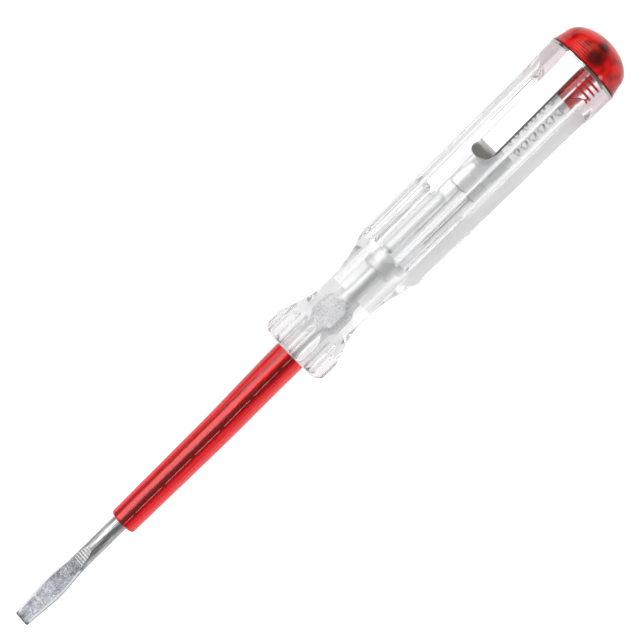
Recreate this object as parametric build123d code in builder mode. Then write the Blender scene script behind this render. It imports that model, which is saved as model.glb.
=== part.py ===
from build123d import *
from math import cos, pi, radians, sin, sqrt
import os

# Voltage tester pen, in millimetres.
# X runs along the pen from the blade's tip to the cap, Z points out through the pocket clip.
# The origin is on the pen's axis, in the blade's end face.

# Driving sizes of the blade and shaft
shaft_diameter = 3.0
blade_tip_width = 3.0
blade_tip_thickness = 0.5
blade_corner = 0.3
blade_wide_width = 4.1
blade_wide_at = 7.0
blade_end_at = 14.8
ground_length = 4.6
ground_thickness = 0.95
flat_thickness = 1.2
flat_runout_at = 17.5
wing_width = 4.3
wing_thickness = 2.2
wing_length = 6.6
wing_cover = 1.5
wing_taper = 1.4
tail_length = 6.4

# Driving sizes of the insulating sleeve
bare_blade_length = 23.9
sleeve_length = 42.7
sleeve_front_diameter = 5.1
sleeve_rear_diameter = 6.05
sleeve_edge_radius = 0.5
sleeve_insert = 2.0
sleeve_fit = 0.02

# Driving sizes of the handle's outside
nose_length = 14.3
flare_diameter = 13.3
flare_length = 4.0
flare_end_slope_share = -0.25
rim_radius = 1.4
scoop_count = 10
scoop_width = 3.5
scoop_depth = 0.95
neck_diameter = 9.2
neck_start_at = 11.8
neck_end_at = 13.9
shoulder_at = 23.6
shoulder_slope_share = 0.44
corner_front_diameter = 13.55
collar_inset = 0.05
collar_length = 4.2
facet_count = 6
flats_front = 11.9
flats_rear = 12.4
facet_runout = 2.4
flute_width = 3.0
flute_depth = 0.5
flute_length = 14.8
flute_start_at = 22.8
flute_end_length = 2.2
flute_end_depth_share = 1.5

# Driving sizes of the handle's inside
bore_front_diameter = 5.9
bore_rear_diameter = 6.4

# Driving sizes of the cap's thread
thread_pitch = 1.0
thread_crest_diameter = 7.3
thread_length = 3.0
thread_root_share = 0.72
thread_crest_share = 0.28
thread_clearance = 0.07
unscrew_turns = 2.5

# Driving sizes of the glow lamp
lamp_cap_diameter = 5.5
lamp_cap_length = 3.0
lamp_cap_wall = 0.2
lamp_glass_length = 21.9
lamp_glass_wall = 0.45
lamp_seal_length = 1.6
lamp_fit = 0.05
electrode_diameter = 0.8
electrode_length = 10.5
electrode_setback = 1.6
electrode_spacing = 1.5
lead_diameter = 0.35

# Driving sizes of the resistor
resistor_length = 6.5
resistor_diameter = 5.2
resistor_cap_length = 1.5
resistor_cap_wall = 0.25
resistor_fit = 0.03

# Driving sizes of the spring and its cup
spring_wire = 0.45
spring_length = 12.85
spring_outer_diameter = 4.7
spring_pitch = 2.05
spring_end_pitch = 0.92
spring_end_quarters = 4
spring_lead_rise = 0.75
gap_samples = 900
cup_wall = 0.25
cup_length = 1.2
cup_fit = 0.1

# Driving sizes of the clip
clip_thickness = 0.45
clip_width = 3.85
clip_ring_overhang = 0.05
clip_hole_clearance = 0.12
clip_arm_length = 20.5
clip_rest_gap = 0.05
clip_lip_run = 2.8
clip_lip_angle = 42.0
clip_bend_radius = 0.9
clip_hinge_gap = 0.02
tongue_width = 1.4
tongue_clearance = 0.1
tongue_cup_gap = 0.05
tongue_reach = 0.6

# Driving sizes of the screw cap
cap_diameter = 14.2
cap_height = 6.45
cap_side_height = 2.3
cap_side_inset = 0.55
pilot_diameter = 5.9
stud_length = 5.9

# One overrun serves every cut.
overrun = 2.0

# Places along the pen that several pieces share
handle_start = bare_blade_length + sleeve_length - sleeve_insert
bore_bottom = handle_start + nose_length
tail_end = bore_bottom + tail_length
lamp_start = tail_end
lamp_end = lamp_start + lamp_glass_length + lamp_cap_wall * 2
bore_step = lamp_end
resistor_start = lamp_end
resistor_end = resistor_start + resistor_length
spring_start = resistor_end
spring_end = spring_start + spring_length
stud_front = spring_end + cup_wall
handle_end = stud_front + stud_length
ring_end = handle_end + clip_thickness
overall_length = ring_end + cap_height

# Radii that several pieces share
shaft_radius = shaft_diameter / 2
cap_radius = cap_diameter / 2
collar_radius = cap_radius - collar_inset
clip_ring_radius = cap_radius + clip_ring_overhang
thread_crest_radius = thread_crest_diameter / 2
bore_rear_radius = bore_rear_diameter / 2
cup_outer_radius = spring_outer_diameter / 2 + cup_fit + cup_wall
clip_hole_radius = thread_crest_radius + clip_hole_clearance
facet_step = 360 / facet_count


def radial_plane(angle):
    """Plane through the pen's axis: its x runs along the pen, its y out at this angle from Z."""
    return Plane.XZ.rotated((angle, 0, 0))


def outline_face(points, plane=Plane.XZ):
    """Flat face inside straight lines through these points."""
    with BuildSketch(plane) as section:
        with BuildLine():
            Polyline(*points, close=True)
        make_face()
    return section.sketch


def tube_face(start, end, inner_radius, outer_radius):
    """Section of a plain tube, or of a rod if its inner radius is 0."""
    return outline_face(
        [
            (start, inner_radius),
            (end, inner_radius),
            (end, outer_radius),
            (start, outer_radius),
        ]
    )


def thread_helix(start, length):
    """Right-handed helix round the pen's axis, which every thread here follows."""
    start_angle = 360 * (start - handle_end) / thread_pitch
    with BuildLine() as line:
        Helix(pitch=thread_pitch, height=length, radius=thread_crest_radius)
    return line.edge().moved(Plane.YZ.offset(start).rotated((start_angle, 0, 0)).location)


def thread_ridge(start, length, root_radius, growth):
    """Helical ridge with sloping flanks. The groove that it turns in is the same ridge, grown."""
    path = thread_helix(start, length)
    crest_radius = thread_crest_radius + growth
    half_root = thread_pitch * thread_root_share / 2 + growth
    half_crest = thread_pitch * thread_crest_share / 2 + growth
    outward = (path @ 0) - Vector(start, 0, 0)
    section_plane = Plane(origin=(start, 0, 0), x_dir=(1, 0, 0), z_dir=Vector(1, 0, 0).cross(outward))
    section = outline_face(
        [
            (-half_root, root_radius),
            (half_root, root_radius),
            (half_crest, crest_radius),
            (-half_crest, crest_radius),
        ],
        section_plane,
    )
    return sweep(section, path=path, is_frenet=True, mode=Mode.PRIVATE)


def thimble_points(face, wall, length, outer_radius):
    """Section of a cap whose closed end is at face. A negative wall and length turn it round."""
    inner_radius = outer_radius - abs(wall)
    return [
        (face, 0),
        (face, outer_radius),
        (face + length, outer_radius),
        (face + length, inner_radius),
        (face + wall, inner_radius),
        (face + wall, 0),
    ]


def rod(x_start, length, diameter, side):
    """Straight wire along the pen, on one side of its axis."""
    with BuildPart() as wire:
        with BuildSketch(Plane.YZ.offset(x_start)):
            with Locations((side * electrode_spacing / 2, 0)):
                Circle(diameter / 2)
        extrude(amount=length)
    return wire


def biarc(start, start_direction, end, end_direction):
    """Two arcs that leave start and reach end along the given directions."""
    first = start_direction.normalized()
    second = end_direction.normalized()
    chord = end - start
    both = first + second
    along = chord.dot(both)
    spread = 2 * (1 - first.dot(second))
    reach = (sqrt(along**2 + spread * chord.dot(chord)) - along) / spread
    start_handle = start + first * reach
    end_handle = end - second * reach
    middle = (start_handle + end_handle) / 2
    TangentArc(start, middle, tangent=first)
    TangentArc(middle, end, tangent=end_handle - start_handle)


def least_gap(path, diameter, turn_length):
    """Least space between two stretches of a wire that are a quarter turn or more apart."""
    points = [path @ (sample / gap_samples) for sample in range(gap_samples + 1)]
    apart = int(turn_length / 4 / (path.length / gap_samples))
    distances = [
        (points[first] - points[second]).length
        for first in range(gap_samples + 1)
        for second in range(first + apart, gap_samples + 1)
    ]
    return min(distances) - diameter


# Steel bar: flat ground blade, round shank, forged wings and the tail that is the front contact
with BuildPart() as blade_shaft:
    with BuildSketch(Plane.XZ):
        with BuildLine():
            Polyline(
                (0, 0),
                (0, blade_tip_width / 2 - blade_corner),
                (blade_corner, blade_tip_width / 2),
                (blade_wide_at, blade_wide_width / 2),
            )
            Spline(
                (blade_wide_at, blade_wide_width / 2),
                (blade_end_at, shaft_radius),
                tangents=((1, 0), (1, 0)),
            )
            Polyline(
                (blade_end_at, shaft_radius),
                (tail_end, shaft_radius),
                (tail_end, 0),
                (0, 0),
            )
        make_face()
    revolve(axis=Axis.X)
    with BuildSketch(Plane.XZ) as flat_cut:
        with BuildLine():
            Polyline(
                (flat_runout_at, shaft_radius),
                (flat_runout_at, blade_wide_width),
                (-overrun, blade_wide_width),
                (-overrun, blade_tip_thickness / 2),
                (0, blade_tip_thickness / 2),
                (ground_length, ground_thickness / 2),
                (blade_wide_at, flat_thickness / 2),
            )
            TangentArc(
                (blade_wide_at, flat_thickness / 2),
                (flat_runout_at, shaft_radius),
                tangent=(1, 0),
            )
        make_face()
        mirror(about=Plane.XY)
    extrude(amount=blade_wide_width, both=True, mode=Mode.SUBTRACT)
    wing_end = bore_bottom - wing_cover
    wing_start = wing_end - wing_length
    with BuildSketch(Plane.XY):
        with BuildLine():
            Polyline(
                (wing_start, -shaft_radius),
                (wing_start + wing_taper, -wing_width / 2),
                (wing_end - wing_taper, -wing_width / 2),
                (wing_end, -shaft_radius),
                (wing_end, shaft_radius),
                (wing_end - wing_taper, wing_width / 2),
                (wing_start + wing_taper, wing_width / 2),
                (wing_start, shaft_radius),
                close=True,
            )
        make_face()
    extrude(amount=wing_thickness / 2, both=True)

# Red plastic tube, thicker towards the handle, with a rounded front edge
with BuildPart() as insulating_sleeve:
    sleeve_end = bare_blade_length + sleeve_length
    sleeve_bore_radius = shaft_radius + sleeve_fit
    with BuildSketch(Plane.XZ):
        with BuildLine():
            Polyline(
                (bare_blade_length, sleeve_front_diameter / 2),
                (sleeve_end, sleeve_rear_diameter / 2),
                (sleeve_end, sleeve_bore_radius),
                (bare_blade_length, sleeve_bore_radius),
                close=True,
            )
        make_face()
    revolve(axis=Axis.X)
    front_edges = insulating_sleeve.edges().filter_by(GeomType.CIRCLE).group_by(Axis.X)[0]
    fillet(front_edges.sort_by(SortBy.RADIUS)[-1], radius=sleeve_edge_radius)

# The core pin that moulds the handle's bore: two steps and the thread's groove
ridge_start = handle_end - thread_length + thread_pitch / 2
ridge_length = thread_length - thread_pitch

with BuildPart() as bore_core:
    bore_points = [
        (bore_bottom, 0),
        (bore_bottom, bore_front_diameter / 2),
        (bore_step, bore_front_diameter / 2),
        (bore_step, bore_rear_radius),
        (handle_end + overrun, bore_rear_radius),
        (handle_end + overrun, 0),
    ]
    revolve(outline_face(bore_points), axis=Axis.X)
    groove = thread_ridge(
        ridge_start - thread_pitch / 4,
        thread_length + thread_pitch / 4,
        bore_rear_radius - thread_clearance,
        thread_clearance,
    )
    add(groove)

# Clear moulded handle
with BuildPart() as handle:
    flare_radius = flare_diameter / 2
    neck_radius = neck_diameter / 2
    corner_radius = corner_front_diameter / 2
    flare_end = handle_start + flare_length
    neck_start = handle_start + neck_start_at
    neck_end = handle_start + neck_end_at
    shoulder = handle_start + shoulder_at
    collar_start = handle_end - collar_length
    with BuildSketch(Plane.XZ):
        with BuildLine():
            Polyline((handle_start, 0), (handle_start, flare_radius), (flare_end, flare_radius))
            Spline(
                (flare_end, flare_radius),
                (neck_start, neck_radius),
                tangents=((1, flare_end_slope_share), (1, 0)),
            )
            Line((neck_start, neck_radius), (neck_end, neck_radius))
            Spline(
                (neck_end, neck_radius),
                (shoulder, corner_radius),
                tangents=((1, 0), (1, shoulder_slope_share)),
            )
            Polyline(
                (shoulder, corner_radius),
                (collar_start, collar_radius),
                (handle_end, collar_radius),
                (handle_end, 0),
                (handle_start, 0),
            )
        make_face()
    revolve(axis=Axis.X)
    rim_edges = handle.edges().filter_by(GeomType.CIRCLE).group_by(Axis.X)[0]
    fillet(rim_edges.sort_by(SortBy.RADIUS)[-1], radius=rim_radius)

    # Ten finger scoops run from the rim into the neck's curve.
    scoop_radius = (scoop_width**2 / 4 + scoop_depth**2) / (2 * scoop_depth)
    scoop_centre = flare_radius - scoop_depth + scoop_radius
    with BuildSketch(Plane.YZ.offset(handle_start - overrun)):
        with PolarLocations(scoop_centre, scoop_count, start_angle=90 + 180 / scoop_count):
            Circle(scoop_radius)
    extrude(amount=overrun + neck_start_at, mode=Mode.SUBTRACT)

    # Six flats, each run out in a ramp before the collar. The clip's flat goes on to the end.
    flat_radius_front = flats_front / 2
    flat_radius_rear = flats_rear / 2
    ramp_start = collar_start - facet_runout / 2
    ramp_end = collar_start + facet_runout / 2
    for facet in range(facet_count):
        if facet == 0:
            last_points = [
                (handle_end + overrun, flat_radius_rear),
                (handle_end + overrun, cap_diameter),
            ]
        else:
            last_points = [
                (ramp_start, flat_radius_rear),
                (ramp_end, collar_radius),
                (ramp_end, cap_diameter),
            ]
        first_points = [
            (neck_end, cap_diameter),
            (neck_end, flat_radius_front),
            (shoulder, flat_radius_front),
        ]
        extrude(
            outline_face(first_points + last_points, radial_plane(facet * facet_step)),
            amount=cap_diameter,
            both=True,
            mode=Mode.SUBTRACT,
        )

    # A flute with boat-shaped ends in the front part of each flat
    flute_radius = (flute_width**2 / 4 + flute_depth**2) / (2 * flute_depth)
    flute_start = handle_start + flute_start_at
    flute_end = flute_start + flute_length
    flute_middle_share = ((flute_start + flute_end) / 2 - shoulder) / (ramp_start - shoulder)
    flute_face = flat_radius_front + (flat_radius_rear - flat_radius_front) * flute_middle_share
    flute_centre = flute_face - flute_depth + flute_radius
    flute_tip_radius = flute_radius - flute_depth * flute_end_depth_share
    for facet in range(facet_count):
        with BuildSketch(radial_plane(facet * facet_step)) as flute_section:
            with BuildLine():
                flute_floor = flute_centre - flute_radius
                flute_tip = flute_centre - flute_tip_radius
                Polyline(
                    (flute_end, flute_tip),
                    (flute_end, flute_centre),
                    (flute_start, flute_centre),
                    (flute_start, flute_tip),
                )
                TangentArc(
                    (flute_start + flute_end_length, flute_floor),
                    (flute_start, flute_tip),
                    tangent=(-1, 0),
                )
                Line(
                    (flute_start + flute_end_length, flute_floor),
                    (flute_end - flute_end_length, flute_floor),
                )
                TangentArc(
                    (flute_end - flute_end_length, flute_floor),
                    (flute_end, flute_tip),
                    tangent=(1, 0),
                )
            make_face()
        flute_plane = radial_plane(facet * facet_step)
        flute_axis = Axis(flute_plane.from_local_coords((0, flute_centre, 0)), (1, 0, 0))
        revolve(axis=flute_axis, mode=Mode.SUBTRACT)

    # Seat of the sleeve, and the mould's grip on the shaft and its wings
    sleeve_taper = (sleeve_rear_diameter - sleeve_front_diameter) / 2 / sleeve_length
    seat_points = [
        (handle_start - overrun, 0),
        (handle_start - overrun, sleeve_rear_diameter / 2 - sleeve_taper * (sleeve_insert + overrun)),
        (sleeve_end, sleeve_rear_diameter / 2),
        (sleeve_end, 0),
    ]
    revolve(outline_face(seat_points), axis=Axis.X, mode=Mode.SUBTRACT)
    add(blade_shaft.part, mode=Mode.SUBTRACT)

    # The bore with its thread
    add(bore_core.part, mode=Mode.SUBTRACT)

    # Keyway for the clip's tongue, under the clip
    tongue_floor = clip_hole_radius
    tongue_top = tongue_floor + clip_thickness
    keyway_top = tongue_top + tongue_clearance
    keyway_length = stud_length + cup_length + tongue_reach
    with BuildSketch(Plane.YZ.offset(handle_end - keyway_length)):
        with Locations((0, keyway_top / 2)):
            Rectangle(tongue_width + tongue_clearance * 2, keyway_top)
    extrude(amount=keyway_length + overrun, mode=Mode.SUBTRACT)

# Metal thimbles on the ends of the glow lamp, open towards each other
lamp_cap_radius = lamp_cap_diameter / 2

with BuildPart() as lamp_front_cap:
    front_cap_points = thimble_points(lamp_start, lamp_cap_wall, lamp_cap_length, lamp_cap_radius)
    revolve(outline_face(front_cap_points), axis=Axis.X)

with BuildPart() as lamp_rear_cap:
    rear_cap_points = thimble_points(lamp_end, -lamp_cap_wall, -lamp_cap_length, lamp_cap_radius)
    revolve(outline_face(rear_cap_points), axis=Axis.X)

# Glass tube closed by a solid seal at each end, with a bore in each seal for its lead
glass_start = lamp_start + lamp_cap_wall
glass_end = lamp_end - lamp_cap_wall
glass_radius = lamp_cap_radius - lamp_cap_wall - lamp_fit
glass_hollow_radius = glass_radius - lamp_glass_wall

with BuildPart() as lamp_glass:
    revolve(tube_face(glass_start, glass_end, 0, glass_radius), axis=Axis.X)
    outer_edges = lamp_glass.edges().filter_by(GeomType.CIRCLE)
    fillet(outer_edges, radius=lamp_glass_wall)
    hollow_start = glass_start + lamp_seal_length
    hollow_end = glass_end - lamp_seal_length
    revolve(
        tube_face(hollow_start, hollow_end, 0, glass_hollow_radius),
        axis=Axis.X,
        mode=Mode.SUBTRACT,
    )
    for lead_side, seal_face in ((1, glass_start), (-1, glass_end)):
        with BuildSketch(Plane.YZ.offset(seal_face)):
            with Locations((lead_side * electrode_spacing / 2, 0)):
                Circle(lead_diameter / 2)
        extrude(amount=lead_side * lamp_seal_length, mode=Mode.SUBTRACT)


# Two leads come in through the seals, each butted to its electrode. The rods lie side by side.
lead_length = lamp_seal_length + electrode_setback
front_electrode_start = glass_start + lead_length
rear_electrode_start = glass_end - lead_length - electrode_length
lamp_front_lead = rod(glass_start, lead_length, lead_diameter, 1)
lamp_front_electrode = rod(front_electrode_start, electrode_length, electrode_diameter, 1)
lamp_rear_lead = rod(glass_end - lead_length, lead_length, lead_diameter, -1)
lamp_rear_electrode = rod(rear_electrode_start, electrode_length, electrode_diameter, -1)

# Resistor: a ceramic rod pressed into two metal caps
resistor_radius = resistor_diameter / 2

with BuildPart() as resistor_front_cap:
    front_points = thimble_points(resistor_start, resistor_cap_wall, resistor_cap_length, resistor_radius)
    revolve(outline_face(front_points), axis=Axis.X)

with BuildPart() as resistor_rear_cap:
    rear_points = thimble_points(resistor_end, -resistor_cap_wall, -resistor_cap_length, resistor_radius)
    revolve(outline_face(rear_points), axis=Axis.X)

with BuildPart() as resistor_rod:
    rod_radius = resistor_radius - resistor_cap_wall - resistor_fit
    rod_start = resistor_start + resistor_cap_wall
    rod_end = resistor_end - resistor_cap_wall
    revolve(tube_face(rod_start, rod_end, 0, rod_radius), axis=Axis.X)


# Compression spring: close turns at its ends, wide ones between, both wire ends turned square
with BuildPart() as contact_spring:
    spring_radius = (spring_outer_diameter - spring_wire) / 2
    coil_start = spring_start + spring_wire + spring_lead_rise
    coil_end = spring_end - spring_wire - spring_lead_rise
    end_quarter_rise = spring_end_pitch / 4
    open_length = coil_end - coil_start - end_quarter_rise * spring_end_quarters
    open_quarters = round(open_length / (spring_pitch / 4))
    open_quarter_rise = open_length / open_quarters
    rises = [end_quarter_rise] * spring_end_quarters + [open_quarter_rise] * open_quarters

    def on_coil(x, angle):
        return Vector(x, spring_radius * sin(angle), spring_radius * cos(angle))

    def coil_direction(rise, angle):
        return Vector(rise / (pi / 2), spring_radius * cos(angle), -spring_radius * sin(angle))

    lead_turn = spring_lead_rise / spring_radius
    axial = Vector(1, 0, 0)
    with BuildLine() as spring_path:
        angle = 0.0
        x = coil_start
        foot = on_coil(spring_start, -lead_turn)
        knee = on_coil(spring_start + spring_wire, -lead_turn)
        Line(foot, knee)
        biarc(knee, axial, on_coil(x, angle), coil_direction(rises[0], angle))
        for quarter, rise in enumerate(rises):
            rise_before = rises[max(quarter - 1, 0)]
            rise_after = rises[min(quarter + 1, len(rises) - 1)]
            leaving = coil_direction((rise_before + rise) / 2, angle)
            entering = coil_direction((rise + rise_after) / 2, angle + pi / 2)
            biarc(on_coil(x, angle), leaving, on_coil(x + rise, angle + pi / 2), entering)
            angle += pi / 2
            x += rise
        top_knee = on_coil(spring_end - spring_wire, angle + lead_turn)
        biarc(on_coil(x, angle), coil_direction(rises[-1], angle), top_knee, axial)
        Line(top_knee, on_coil(spring_end, angle + lead_turn))
    with BuildSketch(Plane(origin=foot, z_dir=axial)):
        Circle(spring_wire / 2)
    spring_line = spring_path.wire()
    sweep(path=spring_line)
    spring_turn_length = 2 * pi * spring_radius
    spring_gap = least_gap(spring_line, spring_wire, spring_turn_length)
    print("spring turns", len(rises) / 4, "least gap", round(spring_gap, 3))

# Plated cup between the spring and the cap's stud
with BuildPart() as spring_cup:
    revolve(
        outline_face(thimble_points(stud_front, -cup_wall, -cup_length, cup_outer_radius)),
        axis=Axis.X,
    )

# Clip: the washer under the cap, with the tab that carries the arm and the tongue in the keyway
tongue_knee = stud_front + tongue_reach / 2
tongue_touch = stud_front - tongue_reach
tongue_end = stud_front - cup_length
tongue_low = cup_outer_radius + tongue_cup_gap

with BuildPart() as clip_ring:
    revolve(tube_face(handle_end, ring_end, clip_hole_radius, clip_ring_radius), axis=Axis.X)
    with BuildSketch(Plane.YZ.offset(handle_end)):
        with Locations((0, (clip_hole_radius + clip_thickness + clip_ring_radius) / 2)):
            Rectangle(clip_width, clip_ring_radius - clip_hole_radius - clip_thickness)
    extrude(amount=clip_thickness)
    tongue_points = [
        (ring_end, tongue_floor),
        (tongue_knee, tongue_floor),
        (tongue_touch, tongue_low),
        (tongue_end, tongue_low),
        (tongue_end, tongue_low + clip_thickness),
        (tongue_touch, tongue_low + clip_thickness),
        (tongue_knee, tongue_top),
        (ring_end, tongue_top),
    ]
    extrude(outline_face(tongue_points), amount=tongue_width / 2, both=True)

# The same sheet's spring arm, which flexes at its bend, and the turned-up round lip
hinge_x = handle_end + clip_thickness / 2
hinge_z = clip_ring_radius + clip_hinge_gap + clip_thickness / 2
bend_x = hinge_x - clip_arm_length
bend_share = (bend_x - shoulder) / (ramp_start - shoulder)
facet_under_bend = flat_radius_front + (flat_radius_rear - flat_radius_front) * bend_share
bend_z = facet_under_bend + clip_rest_gap + clip_thickness / 2
lip_tilt = radians(clip_lip_angle)
lip_length = clip_lip_run / cos(lip_tilt)
lip_direction = Vector(-cos(lip_tilt), 0, sin(lip_tilt))
lip_end = Vector(bend_x, 0, bend_z) + lip_direction * lip_length

with BuildPart() as clip_arm:
    with BuildSketch(Plane.XZ):
        with BuildLine():
            FilletPolyline(
                (hinge_x, hinge_z),
                (bend_x, bend_z),
                (lip_end.X, lip_end.Z),
                radius=clip_bend_radius,
            )
        trace(line_width=clip_thickness)
        with Locations((hinge_x, hinge_z)):
            Circle(clip_thickness / 2)
    extrude(amount=clip_width / 2, both=True)
    lip_plane = Plane(origin=lip_end, x_dir=lip_direction, z_dir=lip_direction.cross(Vector(0, 1, 0)))
    with BuildSketch(lip_plane):
        with Locations((-clip_width / 4, 0)):
            Rectangle(clip_width / 2 + clip_thickness, clip_width + clip_thickness)
        with Locations((-clip_width / 2, 0)):
            Circle(clip_width / 2, mode=Mode.SUBTRACT)
            Rectangle(clip_width / 2, clip_width, mode=Mode.SUBTRACT)
    extrude(amount=clip_thickness, both=True, mode=Mode.SUBTRACT)

# Red end cap: a dome on a threaded stud with a plain pilot
with BuildPart() as screw_cap:
    cap_side_radius = cap_radius - cap_side_inset
    core_radius = bore_rear_radius - thread_clearance
    thread_start = handle_end - thread_length
    with BuildSketch(Plane.XZ):
        with BuildLine():
            Polyline(
                (overall_length, 0),
                (stud_front, 0),
                (stud_front, pilot_diameter / 2),
                (thread_start, pilot_diameter / 2),
                (thread_start, core_radius),
                (ring_end, core_radius),
                (ring_end, cap_radius),
                (ring_end + cap_side_height, cap_side_radius),
            )
            Spline(
                (ring_end + cap_side_height, cap_side_radius),
                (overall_length, 0),
                tangents=((cap_side_height, cap_side_radius - cap_radius), (0, -1)),
            )
        make_face()
    revolve(axis=Axis.X)
    ridge = thread_ridge(ridge_start, ridge_length, core_radius - thread_clearance, 0)
    add(ridge)

sub_parts = {
    "blade_shaft": blade_shaft,
    "insulating_sleeve": insulating_sleeve,
    "handle": handle,
    "lamp_front_cap": lamp_front_cap,
    "lamp_glass": lamp_glass,
    "lamp_front_lead": lamp_front_lead,
    "lamp_front_electrode": lamp_front_electrode,
    "lamp_rear_electrode": lamp_rear_electrode,
    "lamp_rear_lead": lamp_rear_lead,
    "lamp_rear_cap": lamp_rear_cap,
    "resistor_front_cap": resistor_front_cap,
    "resistor_rod": resistor_rod,
    "resistor_rear_cap": resistor_rear_cap,
    "contact_spring": contact_spring,
    "spring_cup": spring_cup,
    "clip_ring": clip_ring,
    "clip_arm": clip_arm,
    "screw_cap": screw_cap,
}

os.makedirs("parts", exist_ok=True)
for node, sub_part in sub_parts.items():
    sub_part.part.label = node
    export_step(sub_part.part, f"parts/{node}.step")

print("overall length", round(overall_length, 3))
print("cap travel", thread_pitch * unscrew_turns, "clip hinge", round(hinge_x, 3), round(hinge_z, 3))
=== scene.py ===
import math

import bmesh
import bpy
from mathutils import Matrix, Vector


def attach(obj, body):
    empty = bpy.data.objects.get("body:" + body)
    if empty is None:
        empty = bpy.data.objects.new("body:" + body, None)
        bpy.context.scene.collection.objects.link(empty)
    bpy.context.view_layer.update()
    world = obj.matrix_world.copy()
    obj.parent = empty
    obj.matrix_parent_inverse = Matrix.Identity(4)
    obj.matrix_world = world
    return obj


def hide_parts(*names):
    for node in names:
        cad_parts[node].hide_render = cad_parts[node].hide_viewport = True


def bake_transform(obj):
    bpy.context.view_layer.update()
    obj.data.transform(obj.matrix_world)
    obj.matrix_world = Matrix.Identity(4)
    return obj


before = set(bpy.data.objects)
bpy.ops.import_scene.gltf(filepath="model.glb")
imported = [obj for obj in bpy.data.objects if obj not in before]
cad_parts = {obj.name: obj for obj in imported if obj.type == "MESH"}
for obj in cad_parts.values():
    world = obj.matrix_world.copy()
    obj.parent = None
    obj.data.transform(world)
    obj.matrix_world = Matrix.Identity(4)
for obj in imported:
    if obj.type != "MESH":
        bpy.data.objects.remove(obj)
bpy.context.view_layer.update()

# Camera. It stands nearly over the lying pen, leans to the side away from the softbox, and is
# rolled so that the pen runs from the lower left corner to the upper right one.
MM = 0.001
camera_lean = math.radians(15.0)
camera_yaw = math.radians(1.678)
camera_roll = math.radians(44.468)
camera_distance = 410.0
aim_along = 72.186
aim_across = 0.727
to_camera = Vector(
    (
        math.sin(camera_yaw),
        -math.sin(camera_lean) * math.cos(camera_yaw),
        math.cos(camera_lean) * math.cos(camera_yaw),
    )
)
along_pen = (Vector((1, 0, 0)) - to_camera * to_camera.x).normalized()
across_pen = to_camera.cross(along_pen)
image_right = along_pen * math.cos(camera_roll) - across_pen * math.sin(camera_roll)
image_up = along_pen * math.sin(camera_roll) + across_pen * math.cos(camera_roll)
aim_point = Vector((aim_along, 0, 0)) + across_pen * aim_across
camera_turn = Matrix((image_right, image_up, to_camera)).transposed().to_4x4()
camera_data = bpy.data.cameras.new("studio_camera")
camera_data.lens = 135.8
camera_data.sensor_width = 36.0
camera_data.clip_start = 0.01
camera = bpy.data.objects.new("studio_camera", camera_data)
camera.matrix_world = Matrix.Translation((aim_point + to_camera * camera_distance) * MM) @ camera_turn
bpy.context.scene.collection.objects.link(camera)
bpy.context.scene.camera = camera
bpy.context.scene.view_settings.view_transform = "Standard"
bpy.context.scene.cycles.max_bounces = 32
bpy.context.scene.cycles.transmission_bounces = 32
bpy.context.scene.cycles.glossy_bounces = 12


# Studio round the pen. A long softbox hangs over its far side and a dark room lies behind the
# camera's shoulder. The strengths run by the angle round the pen, from the camera's direction.
def add_node(tree, kind, **settings):
    """A new shader node with its settings, such as operation="ADD"."""
    node = tree.nodes.new(kind)
    for name, value in settings.items():
        setattr(node, name, value)
    return node


def feed(tree, source, node, socket):
    """Links a source socket to a node's input, or sets the input if source is a plain value."""
    if isinstance(source, bpy.types.NodeSocket):
        tree.links.new(source, node.inputs[socket])
    else:
        node.inputs[socket].default_value = source


def maths(tree, operation, first, second=0.0, third=0.0):
    """The output of one Math node."""
    node = add_node(tree, "ShaderNodeMath", operation=operation)
    feed(tree, first, node, 0)
    feed(tree, second, node, 1)
    feed(tree, third, node, 2)
    return node.outputs[0]


def product(tree, first, second):
    """Two values multiplied."""
    return maths(tree, "MULTIPLY", first, second)


def times_plus(tree, value, factor, base):
    """A value times a factor, and a base added to it."""
    return maths(tree, "MULTIPLY_ADD", value, factor, base)


def dot(tree, vector, direction):
    """How far a vector reaches along a fixed direction."""
    node = add_node(tree, "ShaderNodeVectorMath", operation="DOT_PRODUCT")
    feed(tree, vector, node, 0)
    node.inputs[1].default_value = direction
    return node.outputs["Value"]


def ramp(tree, share, stops):
    """The output of a colour ramp. Each stop is (position, grey level) or (position, colour)."""
    node = add_node(tree, "ShaderNodeValToRGB")
    feed(tree, share, node, 0)
    elements = node.color_ramp.elements
    while len(elements) < len(stops):
        elements.new(0.5)
    for element, (position, level) in zip(elements, stops):
        element.position = position
        element.color = (level, level, level, 1) if isinstance(level, float) else (*level, 1)
    return node.outputs["Color"]


ROOM_BRIGHTEST = 3.3
MATTE_FILL = 0.9
ROOM_END_LEVEL = 0.5
room_levels = [
    (-180, 0.7),
    (-78, 0.7),
    (-72, 0.4),
    (-64, 0.3),
    (-12, 0.25),
    (0, 0.4),
    (18, 0.6),
    (23, 3.3),
    (60, 3.3),
    (66, 1.0),
    (84, 0.8),
    (88, 0.2),
    (104, 0.2),
    (106, 0.75),
    (180, 0.7),
]
room = bpy.data.worlds.new("studio_room")
bpy.context.scene.world = room
room.use_nodes = True
room_tree = room.node_tree
room_tree.nodes.clear()
sight = add_node(room_tree, "ShaderNodeTexCoord").outputs["Generated"]
sight_across = dot(room_tree, sight, across_pen)
sight_back = dot(room_tree, sight, to_camera)
round_angle = maths(room_tree, "ARCTAN2", sight_across, sight_back)
round_share = times_plus(room_tree, round_angle, 1 / math.tau, 0.5)
room_ramp = ramp(
    room_tree,
    round_share,
    [(angle / 360 + 0.5, level / ROOM_BRIGHTEST) for angle, level in room_levels],
)
end_reach = maths(room_tree, "ABSOLUTE", dot(room_tree, sight, along_pen))
softbox_end = ramp(room_tree, end_reach, [(0.27, 1.0), (0.44, 0.75 / ROOM_BRIGHTEST)])
side_level = product(room_tree, maths(room_tree, "MINIMUM", room_ramp, softbox_end), ROOM_BRIGHTEST)
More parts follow.
